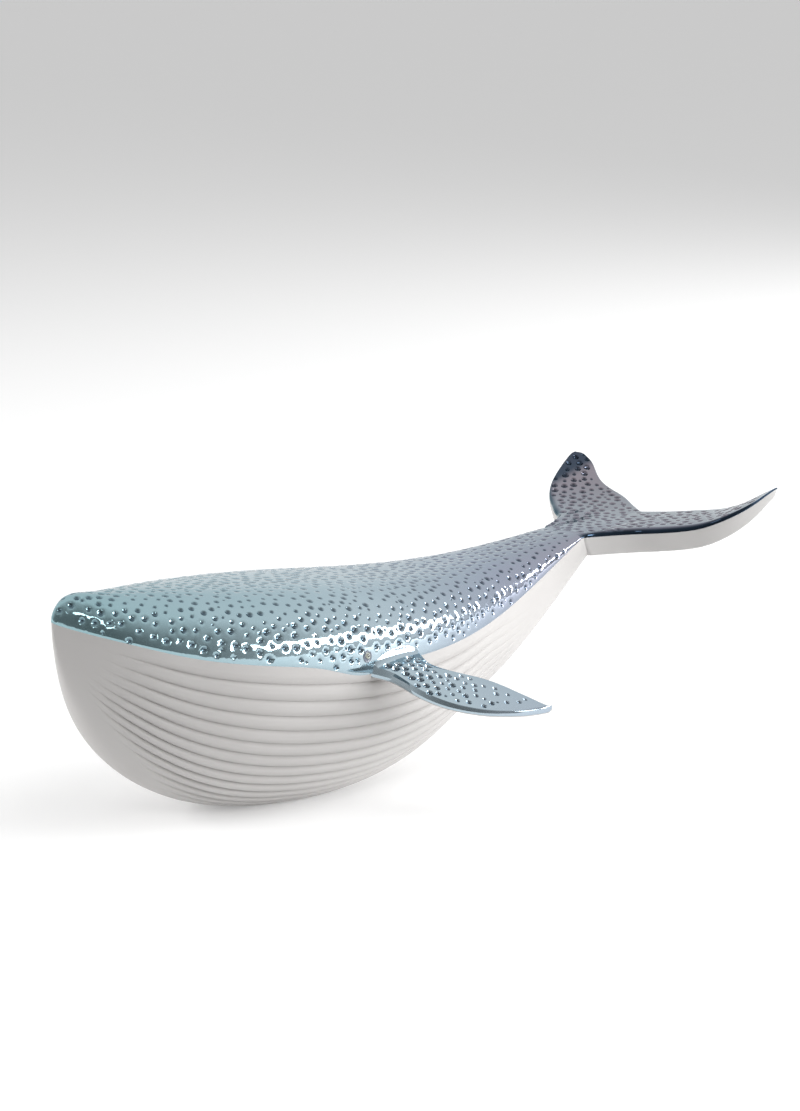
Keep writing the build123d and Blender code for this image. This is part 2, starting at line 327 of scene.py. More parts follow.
def fine_grain_group():
    """Shader group for fired clay: a fine grain and slow, faint changes of tone."""
    group = bpy.data.node_groups.new("fired_grain", "ShaderNodeTree")
    for name in ("Grain Size", "Tone Size"):
        group.interface.new_socket(name, in_out="INPUT", socket_type="NodeSocketFloat")
    group.interface.new_socket("Grain", in_out="OUTPUT", socket_type="NodeSocketFloat")
    group.interface.new_socket("Tone", in_out="OUTPUT", socket_type="NodeSocketFloat")
    source = group.nodes.new("NodeGroupInput")
    place = group.nodes.new("ShaderNodeTexCoord").outputs["Object"]
    grain_scale = add_math(group, "DIVIDE", 1.0, source.outputs["Grain Size"])
    tone_scale = add_math(group, "DIVIDE", 1.0, source.outputs["Tone Size"])
    grain = add_node(group, "ShaderNodeTexNoise", None, Vector=place, Scale=grain_scale, Detail=3.0)
    tone = add_node(group, "ShaderNodeTexNoise", None, Vector=place, Scale=tone_scale, Detail=2.0)
    add_node(group, "NodeGroupOutput", None, Grain=grain.outputs[0], Tone=tone.outputs[0])
    return group


def new_material(name):
    material = bpy.data.materials.new(name)
    material.use_nodes = True
    return material, material.node_tree, material.node_tree.nodes["Principled BSDF"]


def mix_colours(tree, share, first, second):
    node = add_node(tree, "ShaderNodeMix", {"data_type": "RGBA"}, i0=share)
    for socket, colour in ((node.inputs[6], first), (node.inputs[7], second)):
        if isinstance(colour, bpy.types.NodeSocket):
            tree.links.new(colour, socket)
        else:
            socket.default_value = colour
    return node.outputs[2]


fired_grain = fine_grain_group()


def add_grain(tree, grain, tone):
    sizes = {"Grain_Size": grain, "Tone_Size": tone}
    return add_node(tree, "ShaderNodeGroup", {"node_tree": fired_grain}, **sizes)


def point_mark(tree, name):
    return add_node(tree, "ShaderNodeAttribute", {"attribute_name": name}).outputs["Fac"]


def clay_tooth(tree, height):
    sizes = {"Strength": tooth_strength, "Distance": tooth_depth}
    return add_node(tree, "ShaderNodeBump", None, Height=height, **sizes).outputs[0]


def bisque_material():
    """Matte unglazed porcelain: warm white, dry, with a fine tooth, and painted shade along the pleat
    grooves.
    """
    material, tree, surface = new_material("bisque")
    grain = add_grain(tree, grain_size, bisque_tone_size)
    clay = mix_colours(tree, grain.outputs["Tone"], bisque_white, bisque_shade)
    # Painted shade: the clay turns grey along the pleat grooves.
    line = add_math(tree, "MULTIPLY", point_mark(tree, "painted_groove_shade"), painted_groove_shade_share)
    colour = mix_colours(tree, line, clay, painted_groove_shade_grey)
    rough = add_math(tree, "MULTIPLY_ADD", grain.outputs["Grain"], 0.2, 0.6)
    tree.links.new(colour, surface.inputs["Base Color"])
    tree.links.new(rough, surface.inputs["Roughness"])
    tree.links.new(clay_tooth(tree, grain.outputs["Grain"]), surface.inputs["Normal"])
    surface.inputs["Specular IOR Level"].default_value = 0.3
    return material


bisque = bisque_material()
belly = new_piece(
    "belly", belly_vertices, belly_faces, {"pleat_place": belly_places, "pleat_fade": belly_fades}
)
shape_by_tree(belly, pleat_tree(), {"Depth": pleat_depth, "Bisque": bisque}, pleat_crease_degrees)
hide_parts("belly_shell")
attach(belly, "root")

# The back is the upper half of the body, luted to the belly along the glaze line. Its lustre glaze
# runs from teal at the head to slate at the tail over dimples pressed into the clay with ball tools.
skin_rows = 520
skin_columns = 301
skin_stations_tried = 3000
lip_points = 20
arch_points = 300
row_end_share = 0.9999999
least_girth = 0.000001
fill_spacing = 0.0019
fill_row_share = 0.87
lip_spacing = 0.0012
lip_insets = (0.0004, 0.0008, 0.0014)
pit_ring_shares = (1.14, 1.0, 0.76, 0.42)
pit_turns = 13
large_pit_share = 1.3
pit_spacing = 0.0062
pit_radius = 0.0021
pit_depth_share = 0.62
fine_pit_spacing = 0.0064
fine_pit_radius = 0.0011
least_pit_share = 0.62
least_fine_pit_share = 0.7
most_pit_share = 1.1
tail_pit_loss_share = 0.15
scatter_density = 400000.0
pit_crease_degrees = 60
glaze_thickness = 0.0003
glaze_roll = 0.0012
pit_margin = 0.0030
pit_seed = 7
eye_from_nose = 0.171
eye_rise = 0.0048
eye_clearing = 0.0058
head_teal = (0.275, 0.43, 0.47, 1)
middle_blue = (0.41, 0.51, 0.57, 1)
rear_lavender = (0.31, 0.34, 0.43, 1)
tail_slate = (0.25, 0.225, 0.26, 1)
# Navy for the painted shade in the pits and the painted dark reflection on the flukes.
painted_dark_navy = (0.03, 0.05, 0.08, 1)
lustre_edge = (0.55, 0.66, 0.70, 1)
glaze_stop_shares = ((0.08, head_teal), (0.42, middle_blue), (0.68, rear_lavender), (1.0, tail_slate))
glaze_tone_size = 0.03


def back_row(station):
    """One section of the glazed skin from glaze line to glaze line, and the run along it."""
    half, level, crown, keel = body_sizes(station)
    lip = glaze_share(station) * np.linspace(1, 0, lip_points)
    low_y, low_z = quarter(lip, half, level, keel, bowl_exponent)
    arch = np.linspace(0, 1, arch_points)
    high_y, high_z = quarter(arch, half, level, crown, top_exponent(station))
    y = np.concatenate([low_y[:-1], high_y])
    z = np.concatenate([low_z[:-1], high_z])
    y = np.concatenate([-y, y[-2::-1]])
    z = np.concatenate([z, z[-2::-1]])
    run = np.concatenate([[0], np.cumsum(np.hypot(np.diff(y), np.diff(z)))])
    return y, z, run


def back_patch():
    """The glazed skin as a grid of points in evenly spaced rows, with their stations and girths."""
    fine = np.linspace(0, 1, skin_stations_tried)
    half, level, crown, keel = body_sizes(fine)
    x_steps = np.diff(body_x(fine))
    ridge = np.hypot(x_steps, np.diff(crown))
    rim = np.hypot(np.hypot(x_steps, np.diff(level)), np.diff(half))
    run = np.concatenate([[0], np.cumsum(np.maximum(ridge, rim))])
    stations = np.interp(np.linspace(0, run[-1], skin_rows), run, fine)
    grid = np.zeros((skin_rows, skin_columns, 3))
    girths = np.zeros(skin_rows)
    for row, station in enumerate(stations):
        y, z, across = back_row(station)
        even = np.linspace(0, across[-1], skin_columns)
        grid[row, :, 0] = body_x(station)
        grid[row, :, 1] = np.interp(even, across, y)
        grid[row, :, 2] = np.interp(even, across, z)
        girths[row] = across[-1]
    return grid, girths, stations, run[-1]


skin_grid, skin_girths, skin_stations, skin_length = back_patch()


def half_girth(along):
    return np.interp(along, np.linspace(0, skin_length, skin_rows), skin_girths) / 2


def skin_places(along, across):
    """Roll flat points of the skin up on to the body."""
    row = np.clip(along / skin_length, 0, row_end_share) * (skin_rows - 1)
    share = across / np.maximum(2 * half_girth(along), least_girth) + 0.5
    column = np.clip(share, 0, row_end_share) * (skin_columns - 1)
    i = row.astype(int)
    j = column.astype(int)
    down = (row - i)[:, None]
    over = (column - j)[:, None]
    before = (1 - over) * skin_grid[i, j] + over * skin_grid[i, j + 1]
    after = (1 - over) * skin_grid[i + 1, j] + over * skin_grid[i + 1, j + 1]
    return (1 - down) * before + down * after


def unroll(places):
    """The flat places of points that lie on the body."""
    stations = np.sqrt((places[:, 0] + foot_from_nose) / body_length)
    rows = np.interp(stations, skin_stations, np.arange(skin_rows))
    nearest = skin_grid[np.round(rows).astype(int)] - places[:, None, :]
    columns = np.argmin((nearest**2).sum(axis=2), axis=1)
    along = rows / (skin_rows - 1) * skin_length
    return along, (columns / (skin_columns - 1) - 0.5) * 2 * half_girth(along)


def flat_points(pits):
    """Flat points for the skin: its outline, rows for the rolled lip, rings round each pit, and a fill."""
    along = np.linspace(0, skin_length, int(skin_length / lip_spacing))[1:]
    half = half_girth(along)
    tail = np.linspace(-half[-1], half[-1], int(2 * half[-1] / lip_spacing))[1:-1]
    left = np.column_stack([along, -half])
    right = np.column_stack([along, half])
    end = np.column_stack([np.full(len(tail), skin_length), tail])
    outline = np.concatenate([[[0, 0]], left, end, right[::-1]])
    points = [outline]
    for inset in lip_insets:
        wide = (half > 3 * inset) & (along < skin_length - lip_spacing / 2)
        for side in (-1, 1):
            points.append(np.column_stack([along[wide], side * (half[wide] - inset)]))
    tree = KDTree(max(len(pits), 1))
    for number, (pit_along, pit_across, radius) in enumerate(pits):
        tree.insert((pit_along, pit_across, 0), number)
        for ring, share in enumerate(pit_ring_shares):
            every = 1 if radius > fine_pit_radius * large_pit_share else 2
            turns = np.arange(0, pit_turns, every)
            angles = (turns + ring / 2) * 2 * math.pi / pit_turns
            circle = np.column_stack([np.cos(angles), np.sin(angles)]) * radius * share
            points.append(circle + (pit_along, pit_across))
        points.append(np.array([[pit_along, pit_across]]))
    tree.balance()
    widest = half.max()
    fill = []
    for number, across in enumerate(np.arange(-widest, widest, fill_spacing * fill_row_share)):
        row = np.arange(number % 2 * fill_spacing / 2, skin_length - fill_spacing / 2, fill_spacing)
        row = row[half_girth(row) - abs(across) > lip_insets[-1] + fill_spacing / 2]
        fill += [(place, across) for place in row]
    for place, across in fill:
        near = tree.find((place, across, 0)) if len(pits) else (None, 0, 1)
        if not len(pits) or near[2] > pit_ring_shares[0] * pits[near[1]][2] + fill_spacing / 2:
            points.append(np.array([[place, across]]))
    return np.concatenate(points), len(along), len(end)


def back_skin(pits):
    """The closed skin of the back with its points crowded round the pits."""
    flat, rim_count, end_count = flat_points(pits)
    loop = list(range(2 * rim_count + end_count + 1))
    found = delaunay_2d_cdt([Vector(point) for point in flat * 1000], [], [loop], 1, 0.0001)
    flat = np.array([tuple(point) for point in found[0]]) / 1000
    faces = [tuple(face) for face in found[2]]
    now = {source: number for number, sources in enumerate(found[3]) for source in sources}
    left = [now[number] for number in range(1, rim_count + 1)]
    right = [now[2 * rim_count + end_count - number] for number in range(rim_count)]
    end = [now[number] for number in range(rim_count + 1, rim_count + end_count + 1)]
    faces.append((now[0], right[0], left[0]))
    for j in range(rim_count - 1):
        faces.append((left[j], right[j], right[j + 1], left[j + 1]))
    faces.append((right[-1], *end[::-1], left[-1]))
    places = skin_places(flat[:, 0], flat[:, 1])
    return places, faces, half_girth(flat[:, 0]) - np.abs(flat[:, 1])


def eye_place(side):
    """Where an eye sits on the back, just above the glaze line."""
    station = math.sqrt(eye_from_nose / body_length)
    half, level, crown, keel = body_sizes(station)
    exponent = top_exponent(station)
    y = half * (1 - (eye_rise / (crown - level)) ** exponent) ** (1 / exponent)
    return Vector((eye_from_nose - foot_from_nose, side * y, level + eye_rise))


def scatter_tree():
    """Scatter pits of two sizes over a skin, the small ones in the room left by the large ones."""
    sizes = ["Spacing", "Radius", "Fine Spacing", "Fine Radius"]
    inputs = [(name, "NodeSocketFloat") for name in sizes]
    inputs += [("Seed", "NodeSocketInt"), ("Glaze", "NodeSocketMaterial")]
    tree, source = new_tree("scatter_pits", inputs)
    size = source.outputs
    scatters = []
    large = ("Spacing", "Radius", least_pit_share)
    small = ("Fine Spacing", "Fine Radius", least_fine_pit_share)
    for spacing, radius, least in (large, small):
        points = add_node(
            tree,
            "GeometryNodeDistributePointsOnFaces",
            {"distribute_method": "POISSON"},
            Mesh=size["Geometry"],
            Distance_Min=size[spacing],
            Density_Max=scatter_density,
            Density_Factor=read_attribute(tree, "pit_room"),
            Seed=size["Seed"],
        ).outputs[0]
        if scatters:
            near = add_node(tree, "GeometryNodeProximity", {"target_element": "POINTS"}, i0=scatters[0])
            room = add_math(tree, "MULTIPLY_ADD", size["Radius"], 1.2, size["Fine Radius"])
            crowded = add_math(tree, "LESS_THAN", near.outputs["Distance"], room)
            thinned = add_node(tree, "GeometryNodeDeleteGeometry", None, Geometry=points, Selection=crowded)
            points = thinned.outputs[0]
        limits = {"i2": least, "i3": most_pit_share, "Seed": size["Seed"]}
        chance = add_node(tree, "FunctionNodeRandomValue", {"data_type": "FLOAT"}, **limits)
        share = add_math(tree, "MULTIPLY", chance.outputs[1], read_attribute(tree, "pit_size"))
        marked = store_attribute(tree, points, "pit_radius", add_math(tree, "MULTIPLY", share, size[radius]))
        scatters.append(add_node(tree, "GeometryNodePointsToVertices", None, Points=marked).outputs[0])
    joined = tree.nodes.new("GeometryNodeJoinGeometry")
    for points in scatters:
        tree.links.new(points, joined.inputs[0])
    end_tree(tree, joined.outputs[0], size["Glaze"])
    return tree


def press_tree():
    """Thicken the glaze behind its rolled edge, then press in the pits marked on the skin."""
    inputs = [("Depth Share", "NodeSocketFloat"), ("Glaze Thickness", "NodeSocketFloat")]
    tree, source = new_tree("press_pits", inputs + [("Glaze", "NodeSocketMaterial")])
    coat = add_math(tree, "MULTIPLY", read_attribute(tree, "glaze_build"), source.outputs["Glaze Thickness"])
    mesh = push_along_normal(tree, source.outputs["Geometry"], coat)
    share = read_attribute(tree, "pit_share")
    bowl = add_math(tree, "SUBTRACT", 1.0, add_math(tree, "MULTIPLY", share, share))
    depth = add_math(tree, "MULTIPLY", bowl, read_attribute(tree, "pit_radius"))
    depth = add_math(tree, "MULTIPLY", depth, source.outputs["Depth Share"])
    mesh = push_along_normal(tree, mesh, add_math(tree, "MULTIPLY", depth, -1.0))
    end_tree(tree, mesh, source.outputs["Glaze"])
    return tree


def find_pits(places, faces, room, sizes, values):
    """Scatter pits on a skin and return their middles and radii."""
    marks = {"pit_room": room, "pit_size": sizes}
    rough = new_piece("pit_scatter", [tuple(place) for place in places], faces, marks)
    shape_by_tree(rough, scatter_pits, values, pit_crease_degrees)
    mesh = rough.data
    middles = np.array([tuple(vertex.co) for vertex in mesh.vertices])
    radii = np.zeros(len(middles))
    mesh.attributes["pit_radius"].data.foreach_get("value", radii)
    bpy.data.objects.remove(rough)
    bpy.data.meshes.remove(mesh)
    return middles, radii


def mark_pits(places, middles, radii):
    """For each point of a skin, how far out it lies in its pit, and that pit's radius."""
    tree = KDTree(len(places))
    for number, place in enumerate(places):
        tree.insert(place, number)
    tree.balance()
    shares = np.ones(len(places))
    pit_radii = np.zeros(len(places))
    for middle, radius in zip(middles, radii):
        for _, number, distance in tree.find_range(middle, radius):
            if distance / radius < shares[number]:
                shares[number] = distance / radius
                pit_radii[number] = radius
    return {"pit_share": shares, "pit_radius": pit_radii}


def glazed_piece(name, places, faces, pits, build, side, dark):
    """A skin with its pits, and how thick and how far from bare its glaze is and how much painted dark
    reflection it carries, marked on it.
    """
    plain = np.zeros(len(places))
    marks = mark_pits(places, *pits)
    marks.update({"glaze_build": plain + build, "glaze_side": plain + side, "painted_dark_reflection": plain + dark})
    return new_piece(name, [tuple(place) for place in places], faces, marks)


def set_stops(ramp, stops):
    """Give a colour ramp its stops, each a position and a colour, in order."""
    elements = ramp.color_ramp.elements
    for element, (position, colour) in ((elements[1], stops[-1]), (elements[0], stops[0])):
        element.position = position
        element.color = colour
    for position, colour in stops[1:-1]:
        elements.new(position).color = colour


def glaze_material():
    """Lustre glaze: mirror-bright, coloured along the body, bare where glaze_side is below 0, with painted
    shade in the pits and painted dark reflection on the fluke edges.
    """
    material, tree, surface = new_material("glaze")
    grain = add_grain(tree, grain_size, glaze_tone_size)
    place = add_node(tree, "ShaderNodeTexCoord").outputs["Object"]
    along = add_node(tree, "ShaderNodeSeparateXYZ", None, i0=place).outputs[0]
    drift = add_math(tree, "MULTIPLY_ADD", grain.outputs["Tone"], 0.05, along)
    nose = -foot_from_nose
    tail = body_length - foot_from_nose
    span = add_node(tree, "ShaderNodeMapRange", None, Value=drift, i1=nose, i2=tail + 0.1)
    ramp = add_node(tree, "ShaderNodeValToRGB", None, Fac=span.outputs[0])
    set_stops(ramp, glaze_stop_shares)
    side = point_mark(tree, "glaze_side")
    glazed = add_node(tree, "ShaderNodeMapRange", None, Value=side, i1=-0.0001, i2=0.0001).outputs[0]
    # Painted dark reflection: navy laid on the flukes' front edge and far tip, where the glaze mirrors the
    # dark room.
    rim = point_mark(tree, "painted_dark_reflection")
    # Painted shade: each pit's colour turns towards navy, most at its middle and more towards the tail.
    pit_shade = add_math(tree, "SUBTRACT", 1.0, add_math(tree, "POWER", point_mark(tree, "pit_share"), 3.0))
    pit_shade_strength = add_node(tree, "ShaderNodeMapRange", None, Value=along, i1=nose, i2=tail, i3=0.75, i4=0.95)
    pit_shaded = mix_colours(tree, add_math(tree, "MULTIPLY", pit_shade, pit_shade_strength.outputs[0]), ramp.outputs[0], painted_dark_navy)
    colour = mix_colours(tree, rim, pit_shaded, painted_dark_navy)
    bare = mix_colours(tree, grain.outputs["Tone"], bisque_white, bisque_shade)
    tree.links.new(mix_colours(tree, glazed, bare, colour), surface.inputs["Base Color"])
    gloss = add_math(tree, "MULTIPLY_ADD", grain.outputs["Tone"], 0.05, 0.05)
    rough = add_node(tree, "ShaderNodeMix", None, i0=glazed, i2=0.7, i3=gloss).outputs[0]
    tree.links.new(rough, surface.inputs["Roughness"])
    tree.links.new(add_math(tree, "MULTIPLY", glazed, 0.94), surface.inputs["Metallic"])
    shown = add_math(tree, "SUBTRACT", 1.0, add_math(tree, "MAXIMUM", pit_shade, rim))
    coat = add_math(tree, "MULTIPLY", add_math(tree, "MULTIPLY", glazed, shown), 0.5)
    tree.links.new(coat, surface.inputs["Coat Weight"])
    surface.inputs["Coat Roughness"].default_value = 0.04
    surface.inputs["Specular Tint"].default_value = lustre_edge
    bare_grain = add_math(tree, "MULTIPLY", grain.outputs["Grain"], add_math(tree, "SUBTRACT", 1.0, glazed))
    tree.links.new(clay_tooth(tree, bare_grain), surface.inputs["Normal"])
    return material


glaze = glaze_material()
scatter_pits = scatter_tree()
press_pits = press_tree()
pit_values = {
    "Spacing": pit_spacing,
    "Radius": pit_radius,
    "Fine Spacing": fine_pit_spacing,
    "Fine Radius": fine_pit_radius,
    "Depth Share": pit_depth_share,
    "Glaze Thickness": glaze_thickness,
    "Seed": pit_seed,
    "Glaze": glaze,
}
smooth_places, smooth_faces, smooth_inside = back_skin([])
back_room = (smooth_inside > pit_margin).astype(float)
for eye_side in (-1, 1):
    eye_away = np.linalg.norm(smooth_places - np.array(eye_place(eye_side)), axis=1)
    back_room[eye_away < eye_clearing] = 0
tail_end = body_length - foot_from_nose
smooth_sizes = 1 - tail_pit_loss_share * smooth_step(0.02, tail_end, smooth_places[:, 0])
pit_middles, pit_radii = find_pits(smooth_places, smooth_faces, back_room, smooth_sizes, pit_values)
pit_flat = np.column_stack([*unroll(pit_middles), pit_radii])
back_places, back_faces, back_inside = back_skin(pit_flat)
tail_fade = 1 - smooth_step(tail_end - 0.01, tail_end, back_places[:, 0])
back_pits = (skin_places(pit_flat[:, 0], pit_flat[:, 1]), pit_radii)
back_build = smooth_step(0, glaze_roll, back_inside) * tail_fade
back = glazed_piece("back", back_places, back_faces, back_pits, back_build, 1, 0)
shape_by_tree(back, press_pits, pit_values, pit_crease_degrees)
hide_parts("back_shell")
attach(back, "root")

# The flukes are one casting with the root of the tail: a thick rolled front edge, a thin trailing edge, and a
# bare white underside, luted to the end of the tail stock. The front edge and the far tip are painted navy as
# a painted dark reflection of the room.
fluke_span = 0.175
fluke_sweep = 0.093
fluke_tip_rise = 0.029
fluke_edge = 0.0164
fluke_trailing_edge = 0.003
fluke_from_nose = body_length + 0.009
fluke_roll_share = 0.08
fluke_upper_share = 0.24
fluke_hollow_share = 0.18
fluke_front_shares = [0.03, 0.105, 0.245, 0.335, 0.43, 0.51, 0.595, 0.70, 0.815, 0.92, 1]
fluke_back_shares = [0.69, 0.79, 0.875, 0.915, 0.94, 0.98, 1.025, 1.04, 1.035, 1.01, 1]
fluke_front_rise_shares = [0, 0.01, 0.03, 0.07, 0.12, 0.2, 0.33, 0.49, 0.68, 0.87, 0.98]
fluke_back_rise_shares = [0.20, 0.24, 0.30, 0.37, 0.47, 0.62, 0.79, 0.90, 0.97, 0.99, 1]
fluke_edge_shares = [1, 1, 1, 0.99, 0.97, 0.95, 0.90, 0.79, 0.62, 0.42, 0.28]
collar_reach_share = 0.4
collar_taper_share = 0.45
collar_end_drop = 0.001
collar_tuck = 0.006
collar_tuck_depth = 0.0003
fluke_corner_reach = 0.026
fluke_corner_fill = 0.016
fluke_rows = 125
fluke_tip_rows = 26
fluke_columns = 400
fluke_top_columns = 190
fluke_softenings = 16
fluke_pit_size = 1.05
fluke_pit_spacing = 0.0058
fluke_pit_depth_share = 1.0
fluke_pit_margin = 0.0015
fluke_pit_edge_margin = 0.005
fluke_tip_shares = (0.94, 0.06)
far_tip_drop_share = 0.4
# The painted dark reflection: its strength on the far tip and its width along the front edge.
far_tip_painted_reflection_share = 0.9
painted_reflection_width = 0.004
fluke_height = nose_height * glaze_line(1).item()
stock_half = beam / 2 * beam_shares[-1]
stock_rise = crown_rise * crown_shares[-1]
fluke_front = smooth_line(fluke_front_shares)
fluke_back = smooth_line(fluke_back_shares)
fluke_front_rise = smooth_line(fluke_front_rise_shares)
fluke_back_rise = smooth_line(fluke_back_rise_shares)
fluke_edge_line = smooth_line(fluke_edge_shares)


def fluke_sizes(station):
    """Front and back places, their heights and the edge thickness, with the corner at the stock filled."""
    start = fluke_from_nose - foot_from_nose
    out = fluke_span / 2 * (1 - (1 - station) ** 2)
    corner = np.clip(1 - (out - stock_half) / fluke_corner_reach, 0, 1)
    fillet = fluke_corner_fill * (1 - (1 - corner**2.2) ** 0.75)
    front = start + fluke_sweep * fluke_front(station) - fillet
    back = start + fluke_sweep * fluke_back(station)
    nose = fluke_height + fluke_tip_rise * fluke_front_rise(station)
    tail = fluke_height + fluke_tip_rise * fluke_back_rise(station)
    return front, np.maximum(back, front), nose, tail, fluke_edge_line(station)


def arc_line(start, middle, end, count):
    """Points on a smooth bend from start to end that passes through middle halfway."""
    share = np.linspace(0, 1, count)[:, None]
    start, middle, end = (np.array(point, float) for point in (start, middle, end))
    pull = 2 * middle - (start + end) / 2
    return (1 - share) ** 2 * start + 2 * share * (1 - share) * pull + share**2 * end


def fluke_loop(station):
    """One section of a fluke as x and z points, once round."""
    front, back, nose, tail, share = fluke_sizes(station)
    share = share * np.sqrt(1 - np.clip((station - fluke_tip_shares[0]) / fluke_tip_shares[1], 0, 1) ** 2)
    edge = fluke_edge * share
    thin = fluke_trailing_edge * share
    roll = (back - front) * fluke_roll_share
    out = fluke_span / 2 * (1 - (1 - station) ** 2)
    stock_top = stock_rise * max(1 - (out / stock_half) ** stock_exponent, 0.18) ** (1 / stock_exponent)
    level_share = smooth_step(0.7 * stock_half, 1.4 * stock_half, out)
    upper = stock_top + 0.0001 + (edge * fluke_upper_share - stock_top) * level_share
    top = (front + roll, nose + upper)
    bottom = (front + roll, nose - edge * (1 - fluke_upper_share))
    low = (back - thin / 3, tail - thin)
    high = (back - thin / 3, tail)
    middle = ((bottom[0] + low[0]) / 2, (bottom[1] + low[1]) / 2 + edge * fluke_hollow_share)
    level = ((top[0] + high[0]) / 2, (top[1] + high[1]) / 2)
    parts = [
        arc_line(high, level, top, 40),
        arc_line(top, (front, nose), bottom, 16)[1:],
        arc_line(bottom, middle, low, 40)[1:],
        arc_line(low, (back, tail - thin / 2), high, 6)[1:-1],
    ]
    loop = np.concatenate(parts)
    closed = np.concatenate([loop, loop[:1]])
    run = np.concatenate([[0], np.cumsum(np.hypot(*np.diff(closed, axis=0).T))])
    even = np.linspace(0, run[-1], fluke_columns + 1)[:-1]
    loop = np.column_stack([np.interp(even, run, closed[:, axis]) for axis in (0, 1)])
    for softening in range(fluke_softenings):
        loop = (np.roll(loop, 1, axis=0) + 2 * loop + np.roll(loop, -1, axis=0)) / 4
    kept = np.r_[0:fluke_top_columns, fluke_top_columns:fluke_columns:3]
    return loop[kept]


def section_loop(half, level, crown, keel, count):
    """A whole body section, once round, from the left glaze line over the back."""
    turn = np.linspace(0, 1, count)
    high_y, high_z = quarter(turn, half, level, crown, stock_exponent)
    low_y, low_z = quarter(turn, half, level, keel, stock_bowl_exponent)
    y = np.concatenate([-high_y, high_y[-2::-1], low_y[1:], -low_y[-2:0:-1]])
    z = np.concatenate([high_z, high_z[-2::-1], low_z[1:], low_z[-2:0:-1]])
    return y, z


def loops_mesh(loops):
    """Closed loops of equal length joined into a skin with both ends filled."""
    count = len(loops[0])
    vertices = [tuple(point) for loop in loops for point in loop]
    faces = grid_faces(len(loops), count, 0)
    faces.append(tuple(range(count - 1, -1, -1)))
    faces.append(tuple(range(len(vertices) - count, len(vertices))))
    return vertices, faces


def fluke_blade():
    loops = []
    stations = 1 - np.sqrt(1 - np.linspace(0, 0.93, fluke_rows))
    stations = np.concatenate([stations, np.linspace(stations[-1], 0.97, fluke_tip_rows)[1:]])
    for place in np.concatenate([-stations[:0:-1], stations]):
        station = abs(place)
        y = math.copysign(fluke_span / 2 * (1 - (1 - station) ** 2), place)
        loops.append([(x, y, z) for x, z in fluke_loop(station)])
    return loops_mesh(loops)


def fluke_collar():
    """The root, which starts inside the tail stock and carries on its section."""
    loops = []
    half, level, crown, keel = body_sizes(1.0)
    root_end = fluke_height - collar_end_drop
    end = fluke_from_nose + fluke_sweep * collar_reach_share
    for tuck in (collar_tuck, collar_tuck / 2, collar_tuck / 6):
        station = math.sqrt((body_length - tuck) / body_length)
        sizes = body_sizes(station)
        low = sizes[3] + collar_tuck_depth
        y, z = section_loop(sizes[0] - collar_tuck_depth, sizes[1], sizes[2] - collar_tuck_depth, low, 30)
        loops.append([(body_length - tuck - foot_from_nose, b, c) for b, c in zip(y, z)])
    for share in np.linspace(0, 1, 24):
        x = body_length + (end - body_length) * share - foot_from_nose
        low = keel + (root_end - keel) * (1 - (1 - share) ** 2)
        y, z = section_loop(half * (1 - collar_taper_share * share), level, crown, low, 30)
        loops.append([(x, b, c) for b, c in zip(y, z)])
    return loops_mesh(loops)


blade_vertices, blade_faces = fluke_blade()
collar_vertices, collar_faces = fluke_collar()
fluke_places = np.array(blade_vertices + collar_vertices)
fluke_faces = [face[::-1] for face in blade_faces]
fluke_faces += [tuple(index + len(blade_vertices) for index in face[::-1]) for face in collar_faces]
fluke_reach = np.clip(np.abs(fluke_places[:, 1]) / (fluke_span / 2), 0, 1)
fluke_stations = 1 - np.sqrt(1 - fluke_reach)
front, behind, nose_z, tail_z, edge_share = fluke_sizes(fluke_stations)
fluke_along = np.clip((fluke_places[:, 0] - front) / np.maximum(behind - front, 0.001), 0, 1)
fluke_line = nose_z + (tail_z - 0.7 * fluke_trailing_edge * edge_share - nose_z) * fluke_along
fluke_right = fluke_places[:, 1] > 0
far_tip = smooth_step(0.95, 0.99, fluke_reach)
fluke_line -= far_tip_drop_share * fluke_edge * edge_share * far_tip * fluke_right
fluke_side = fluke_places[:, 2] - fluke_line
fluke_from_edge = np.hypot(fluke_places[:, 0] - front, fluke_places[:, 2] - nose_z)
# Painted dark reflection along the rolled front edge and over the far tip, standing in for the dark room
# mirrored there.
fluke_painted_reflection = 1 - smooth_step(0.4 * painted_reflection_width, 1.6 * painted_reflection_width, fluke_from_edge)
fluke_painted_reflection *= smooth_step(0.7 * stock_half, stock_half, np.abs(fluke_places[:, 1]))
far_tip_painted_reflection = smooth_step(0.80, 0.90, fluke_reach) * fluke_right * far_tip_painted_reflection_share
fluke_painted_reflection = np.maximum(fluke_painted_reflection, far_tip_painted_reflection)
fluke_room = (fluke_side > fluke_pit_margin) & (fluke_from_edge > fluke_pit_edge_margin)
fluke_room &= (fluke_along < 0.95) & (fluke_reach < 0.98)
fluke_room[len(blade_vertices) :] = False
fluke_values = {
    **pit_values,
    "Spacing": fluke_pit_spacing,
    "Depth Share": fluke_pit_depth_share,
    "Seed": pit_seed + 1,
}
fluke_sizes_there = np.full(len(fluke_places), fluke_pit_size)
fluke_pits = find_pits(fluke_places, fluke_faces, fluke_room.astype(float), fluke_sizes_there, fluke_values)
flukes = glazed_piece("flukes", fluke_places, fluke_faces, fluke_pits, 0, fluke_side, fluke_painted_reflection)
shape_by_tree(flukes, press_pits, fluke_values, pit_crease_degrees)
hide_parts("tail_flukes")
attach(flukes, "root")

